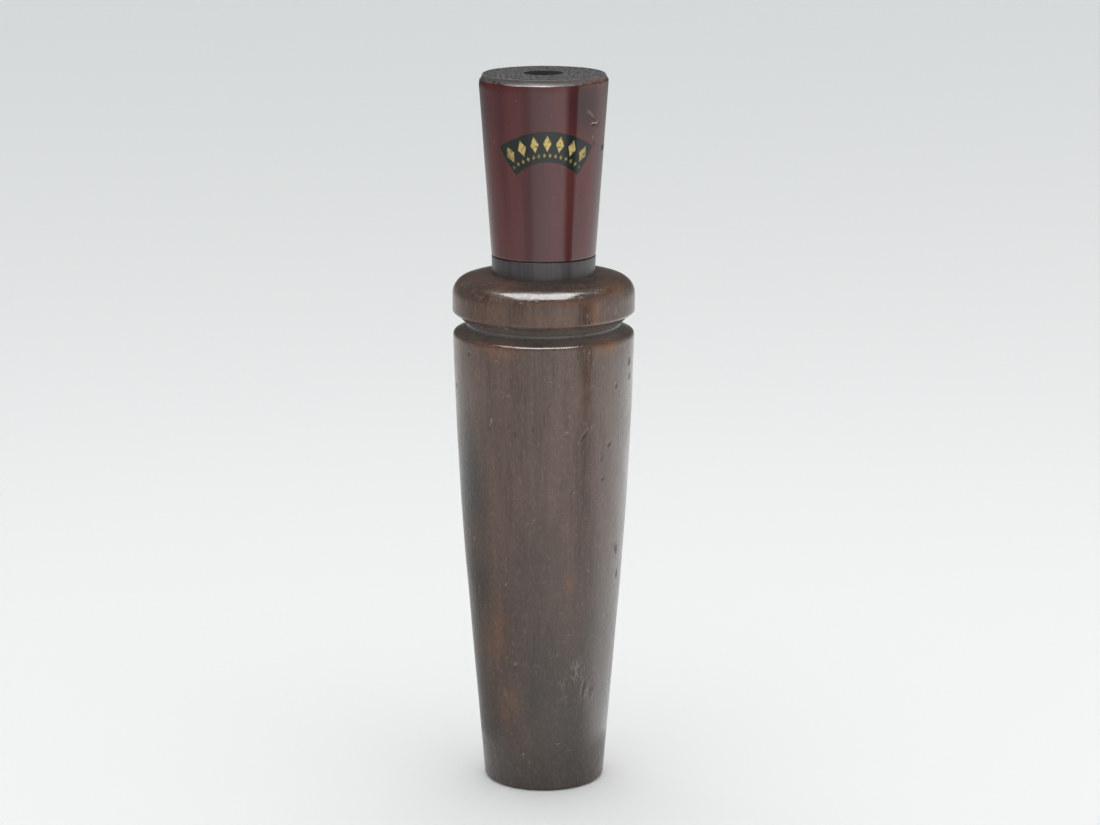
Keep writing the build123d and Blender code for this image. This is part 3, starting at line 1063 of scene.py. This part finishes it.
@dataclass
class Works:
    """The sounding works: tone board and wedge block as in the frame, and the reed as one strip."""

    reed_back: float = -1.02  # Y of the side that closes on the board
    thick: float = 0.3
    width: float = 10.0
    heel_top: float = 99.55
    bend: float = 82.55
    tip: float = 45.05
    tip_round: float = 2.4
    bend_run: float = 9.0  # the strip's curve, below the bending line

    def reed(self) -> None:
        """Makes the reed, a flat strip with a rounded tip.

        Its half width is full down to the rounding, and then falls as a quarter circle.
        """
        low = self.tip + self.tip_round * (1 - np.cos(np.linspace(0, pi / 2, 12)))
        heights = np.concatenate([low, np.linspace(low[-1], self.heel_top, 70)[1:]])
        drop = np.clip((self.tip + self.tip_round - heights) / self.tip_round, 0, 1)
        half = self.width / 2 - self.tip_round * (1 - np.sqrt(1 - drop**2))
        share = np.linspace(-1, 1, 15)
        across = half[:, None] * share
        around = np.concatenate([across, across[:, ::-1]], axis=1)
        depth = np.full(around.shape, self.reed_back)
        depth[:, : across.shape[1]] -= self.thick
        up = np.repeat(heights[:, None], around.shape[1], axis=1)
        points = np.stack([around, depth, up], axis=-1)
        piece = grid_mesh("reed_strip", points, closed=False)
        self.cap(piece, len(heights), around.shape[1])
        dress(piece, MilkyPlastic().make(), Slot.REED, "reed_heel", "reed_tongue")
        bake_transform(piece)

    def cap(self, piece: bpy.types.Object, rows: int, columns: int) -> None:
        """Closes the strip's two ends with faces from its front to its back.

        Args:
            piece: The open strip.
            rows: Rows of its grid.
            columns: Columns of its grid.
        """
        mesh = piece.data
        vertices = np.empty(len(mesh.vertices) * 3)
        mesh.vertices.foreach_get("co", vertices)
        faces = np.empty(len(mesh.polygons) * 4, dtype=int)
        mesh.polygons.foreach_get("vertices", faces)
        half = columns // 2
        near = np.arange(half - 1)
        far = columns - 1 - near
        bottom = np.stack([near + 1, near, far, far - 1], -1)
        top = np.stack([near, near + 1, far - 1, far], -1) + (rows - 1) * columns
        mesh.clear_geometry()
        mesh.from_pydata(vertices.reshape(-1, 3).tolist(), [],
                         np.vstack([faces.reshape(-1, 4), bottom, top]).tolist())
        mesh.update()

    def build(self) -> None:
        """Dresses the tone board and the wedge block, and makes the reed."""
        for node, finish in (("tone_board", Cedar()), ("wedge", Cork())):
            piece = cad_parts[node]
            piece.data.materials.clear()
            piece.data.materials.append(finish.make())
            log.info("%s: kept from the frame, new finish", node)
        self.reed()


# ---- The studio ----


class Zone(Enum):
    """Where on the surround a tone is given: distance out along its floor, then height up its wall."""

    NEAR = (30.0, 0.0)
    TABLE = (150.0, 0.0)
    EDGE = (300.0, 0.0)
    LOW = (300.0, 35.0)
    WALL = (300.0, 120.0)
    TOP = (300.0, 300.0)


@dataclass(frozen=True)
class Tone:
    """How bright the surround is in each zone, at one direction from the call.

    The direction is in degrees from the camera's side, positive to the camera's right.
    """

    turn: float
    near: float
    table: float
    edge: float
    low: float
    wall: float
    top: float


@dataclass
class Studio:
    """A pale round sweep, an overhead softbox, a tray of tones for the lacquer's bands, and the camera."""

    turn: float = 3.4  # the camera stands this many degrees left of the front
    distance: float = 0.601
    height: float = 0.2157
    pitch: float = 13.05
    aim: float = 0.12
    lens: float = 100.0
    flat_r: float = 0.31
    steep: float = 0.40
    rim_r: float = 1.25
    paper_near: Colour = (0.955, 0.962, 0.950)
    paper_far: Colour = (0.60, 0.615, 0.61)
    room_colour: tuple[float, float, float, float] = (0.97, 0.99, 1.0, 1.0)
    room_matt: float = 0.63
    room_gloss: float = 0.05
    tones: tuple[Tone, ...] = (
        Tone(-180, 0.75, 0.75, 1.00, 0.60, 0.04, 0.10),
        Tone(-150, 0.75, 0.65, 1.10, 0.80, 0.06, 0.10),
        Tone(-120, 0.40, 0.34, 1.15, 0.55, 0.12, 0.10),
        Tone(-85, 0.40, 0.30, 1.00, 0.40, 0.20, 0.12),
        Tone(-70, 0.55, 0.38, 0.95, 0.50, 0.25, 0.15),
        Tone(-44, 0.80, 0.70, 1.10, 0.60, 0.35, 0.25),
        Tone(-40, 0.85, 0.85, 0.80, 0.50, 0.35, 0.25),
        Tone(-28, 0.90, 0.95, 0.75, 0.55, 0.40, 0.30),
        Tone(-18, 0.95, 1.05, 1.25, 1.00, 0.80, 0.50),
        Tone(10, 1.00, 1.12, 1.30, 1.30, 0.90, 0.50),
        Tone(38, 1.10, 1.18, 1.30, 1.30, 0.90, 0.50),
        Tone(43, 1.00, 1.10, 1.40, 0.80, 0.30, 0.50),
        Tone(47, 1.00, 1.05, 1.35, 0.20, 0.12, 0.50),
        Tone(51, 1.00, 0.95, 0.12, 0.12, 0.12, 0.20),
        Tone(62, 1.00, 0.95, 0.12, 0.12, 0.12, 0.20),
        Tone(66, 1.30, 1.25, 1.75, 1.10, 0.90, 0.40),
        Tone(90, 2.20, 1.80, 2.00, 0.95, 0.80, 0.30),
        Tone(120, 1.60, 1.80, 2.20, 1.00, 0.60, 0.20),
        Tone(150, 0.90, 1.40, 1.60, 0.90, 0.15, 0.12),
    )

    def sweep(self) -> None:
        """Makes the floor, flat in the middle and rising round it as the square of the distance."""
        radii = np.concatenate([[1e-4], np.linspace(0.1, self.rim_r, 60)])
        azimuths = np.linspace(0, 2 * pi, 96, endpoint=False)
        rise = self.steep * np.clip(radii - self.flat_r, 0, None) ** 2
        points = np.stack([radii[:, None] * np.sin(azimuths), -radii[:, None] * np.cos(azimuths),
                           np.repeat(rise[:, None], 96, axis=1)], axis=-1)
        floor = grid_mesh("sweep", points / MM, closed=False)
        paper = Recipe("sweep_paper")
        back = paper.node("ShaderNodeSeparateXYZ", {0: paper.place}).outputs[1]
        # Painted shade: the paper darkens from the front towards the back.
        tone = paper.mix(paper.fit(back, -0.25, 0.95), self.paper_near, self.paper_far)
        floor.data.materials.append(paper.finish(Base_Color=tone, Roughness=0.9, Specular_IOR_Level=0.0))

    def surround(self) -> None:
        """Makes a low round tray about the call, with soft bands of tone, that only gloss can see.

        Each point's tone is read off the nearest given directions and zones, in a straight line between
        them. It is kept in the mesh's attribute "tone".
        """
        table = np.array([astuple(tone) for tone in self.tones])
        turns = np.arange(0, 360, 2.0)
        given = np.append(table[:, 0], table[0, 0] + 360)
        zones = [np.interp((turns + 180) % 360 - 180, given, np.append(column, column[0]))
                 for column in table[:, 1:].T]
        corners = np.array([zone.value for zone in Zone]) * MM
        steps = np.linspace(0, len(corners) - 1, 31)
        order = np.arange(len(corners))
        out, up = (np.interp(steps, order, side)[:, None] for side in corners.T)
        azimuths = np.radians(turns - self.turn)
        points = np.stack(np.broadcast_arrays(out * np.sin(azimuths), -out * np.cos(azimuths), up + 0.0004),
                          axis=-1)
        tray = grid_mesh("surround", points / MM, closed=False)
        levels = np.array([np.interp(steps, order, column) for column in np.array(zones).T]).T
        keep(tray, "tone", levels)
        paint = Recipe("surround_paint")
        level = paint.node("ShaderNodeAttribute", {}, attribute_name="tone").outputs["Fac"]
        glow = paint.node("ShaderNodeEmission", {"Color": (0.97, 1.0, 1.0, 1.0), "Strength": level})
        paint.node("ShaderNodeOutputMaterial", {"Surface": glow.outputs[0]})
        tray.data.materials.append(paint.material)
        tray.visible_camera = False
        tray.visible_diffuse = False
        tray.visible_shadow = False
        tray.visible_transmission = False

    def softbox(self, name: str, place: Colour, size: tuple[float, float], power: float,
                gloss: bool = True, diffuse: bool = True) -> None:
        """Hangs an area light aimed at the call's middle.

        Args:
            name: Its name.
            place: Its place, in metres.
            size: Width and depth, in metres.
            power: Watts.
            gloss: Whether gloss sees it.
            diffuse: Whether it lights matt surfaces.
        """
        light = bpy.data.lights.new(name, "AREA")
        light.shape = "RECTANGLE"
        light.size, light.size_y = size
        light.energy = power
        lamp = bpy.data.objects.new(name, light)
        lamp.location = place
        if hypot(place[0], place[1]) > place[2]:
            lamp.rotation_euler = (atan2(hypot(place[0], place[1]), place[2] - 0.07), 0,
                                   atan2(place[0], -place[1]))
        lamp.visible_glossy = gloss
        lamp.visible_diffuse = diffuse
        bpy.context.scene.collection.objects.link(lamp)

    def camera(self) -> None:
        """Sets the camera: left of the front, looking down, with the call a touch left of the middle."""
        lens = bpy.data.cameras.new("camera")
        lens.lens = self.lens
        lens.sensor_width = 36.0
        lens.clip_start = 0.01
        camera = bpy.data.objects.new("camera", lens)
        turn = radians(self.turn)
        camera.location = (-self.distance * sin(turn), -self.distance * cos(turn), self.height)
        camera.rotation_euler = (radians(90 - self.pitch), 0, -turn - radians(self.aim))
        bpy.context.scene.collection.objects.link(camera)
        bpy.context.scene.camera = camera

    def room(self) -> None:
        """Lights matt surfaces a little from all round, and leaves the room dark where gloss sees it."""
        world = bpy.data.worlds.new("room")
        world.use_nodes = True
        tree = world.node_tree
        backdrop = tree.nodes["Background"]
        backdrop.inputs[0].default_value = self.room_colour
        ray = tree.nodes.new("ShaderNodeLightPath")
        level = tree.nodes.new("ShaderNodeMapRange")
        level.inputs["To Min"].default_value = self.room_matt
        level.inputs["To Max"].default_value = self.room_gloss
        tree.links.new(ray.outputs["Is Glossy Ray"], level.inputs["Value"])
        tree.links.new(level.outputs[0], backdrop.inputs[1])
        bpy.context.scene.world = world

    def build(self) -> None:
        """Sets up the whole studio."""
        self.sweep()
        self.surround()
        rise = 0.8
        overhead = (-0.075 * rise, -0.235 * rise, 0.104 + rise)
        size = (1.05 * rise, 0.93 * rise)
        self.softbox("overhead", (0.14, -0.1, 1.1), (1.3, 1.3), 3.9, gloss=False)
        self.softbox("overhead_gloss", overhead, size, 28.0, diffuse=False)
        self.softbox("back_fill", (0.0, 0.9, 1.2), (1.6, 1.0), 6.0, gloss=False)
        self.room()
        bpy.context.scene.view_settings.view_transform = "Standard"
        self.camera()
        log.info("studio: %d tones, camera %.0f mm away", len(self.tones), self.distance / MM)


def main() -> None:
    """Builds the call and the studio round it."""
    logging.basicConfig(level=logging.INFO, format="%(name)s: %(message)s")
    stopper = Stopper()
    Barrel().build()
    stopper.build()
    Label().build(stopper)
    Works().build()
    Studio().build()


if __name__ == "__main__":
    main()
